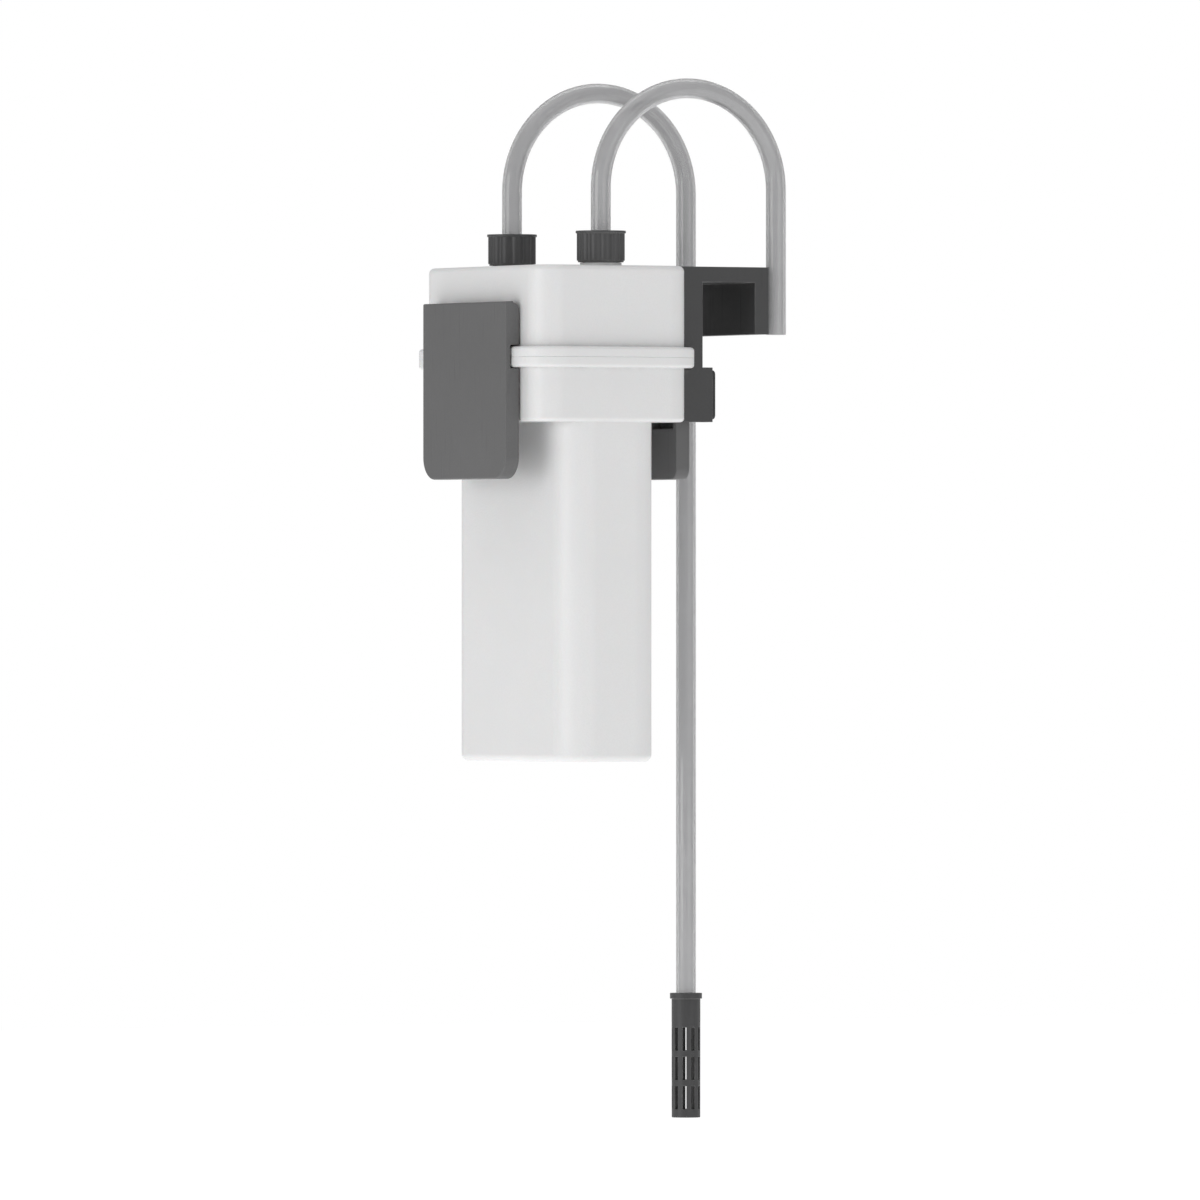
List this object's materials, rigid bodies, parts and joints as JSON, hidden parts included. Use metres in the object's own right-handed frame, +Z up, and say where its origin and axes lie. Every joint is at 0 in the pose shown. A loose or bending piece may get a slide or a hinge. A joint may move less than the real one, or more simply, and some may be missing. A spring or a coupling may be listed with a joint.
{
  "type": "canister filter",
  "caption": "Small hang-on aquarium canister filter: white pump head over a stepped tub, clip latches front and back, rim hanger, and rigid U-shaped intake and outlet pipes.",
  "frame": {"origin": "underside of the hanger's bar, midway across the slot for the tank's rim and midway across the hanger", "axes": "+Z up; +Y into the tank, from the case towards the pipes' far legs; +X from the intake pipe to the outlet pipe"},
  "size_m": [0.0996, 0.1155, 0.3733],
  "materials": {
    "white_shell": "satin moulded white plastic with a fine grain",
    "latch_plastic": "mid grey moulded plastic, light satin",
    "nut_plastic": "dark grey moulded plastic, satin",
    "hanger_plastic": "dark grey moulded plastic, satin",
    "strainer_plastic": "dark grey moulded plastic",
    "pipe_plastic": "smoky translucent rigid plastic tube",
    "tube_plastic": "clear grey rigid tube",
    "inner_plastic": "plain grey moulded plastic",
    "impeller_plastic": "blue grey moulded plastic",
    "seal_rubber": "black soft rubber",
    "pad_rubber": "black soft rubber",
    "screw_steel": "stainless steel",
    "pin_steel": "ground stainless pin",
    "core_steel": "stacked steel laminations",
    "winding_wire": "enamelled copper wire",
    "magnet": "dark sintered ferrite",
    "shaft_ceramic": "polished white ceramic",
    "ring_ceramic": "porous matt ceramic",
    "sponge_foam": "open-cell filter foam",
    "pad_floss": "white filter floss"
  },
  "bodies": {
    "filter": {"canister_body": "white_shell", "head_housing": "white_shell", "pump_deck": "inner_plastic", "case_seal": "seal_rubber", "deck_screws": "screw_steel", "front_latch_pin": "pin_steel", "rear_latch_pin": "pin_steel", "inlet_pipe_seal": "seal_rubber", "outlet_pipe_seal": "seal_rubber", "intake_pipe": "pipe_plastic", "outlet_pipe": "pipe_plastic", "intake_strainer": "strainer_plastic", "hanger_bracket": "hanger_plastic", "hanger_screws": "screw_steel", "glass_pads": "pad_rubber", "cord_gland": "seal_rubber", "stator_core": "core_steel", "coil_bobbin": "inner_plastic", "coil_winding": "winding_wire", "impeller_shaft": "shaft_ceramic", "upper_shaft_bush": "seal_rubber", "lower_shaft_bush": "seal_rubber", "pump_cover": "inner_plastic", "pump_cover_screws": "screw_steel", "drop_tube": "tube_plastic", "media_basket": "inner_plastic", "coarse_sponge": "sponge_foam", "ceramic_rings": "ring_ceramic", "fine_pad": "pad_floss"},
    "front_latch": {"front_latch": "latch_plastic"},
    "rear_latch": {"rear_latch": "latch_plastic"},
    "impeller": {"rotor_magnet": "magnet", "impeller": "impeller_plastic"},
    "inlet_nut": {"inlet_nut": "nut_plastic"},
    "outlet_nut": {"outlet_nut": "nut_plastic"}
  },
  "joints": [
    {"name": "front_latch_hinge", "type": "hinge", "parent": "filter", "child": "front_latch", "pos_m": [0, -0.0874, -0.0103], "axis": [-1, 0, 0], "range_deg": [0, 70]},
    {"name": "rear_latch_hinge", "type": "hinge", "parent": "filter", "child": "rear_latch", "pos_m": [0, -0.0186, -0.0103], "axis": [1, 0, 0], "range_deg": [0, 28]},
    {"name": "impeller_spin", "type": "hinge", "parent": "filter", "child": "impeller", "pos_m": [0, -0.053, -0.0305], "axis": [0, 0, 1], "continuous": true},
    {"name": "inlet_nut_turn", "type": "hinge", "parent": "filter", "child": "inlet_nut", "pos_m": [-0.0325, -0.053, 0.0115], "axis": [0, 0, 1], "continuous": true},
    {"name": "outlet_nut_turn", "type": "hinge", "parent": "filter", "child": "outlet_nut", "pos_m": [0.0325, -0.053, 0.0115], "axis": [0, 0, 1], "continuous": true}
  ]
}
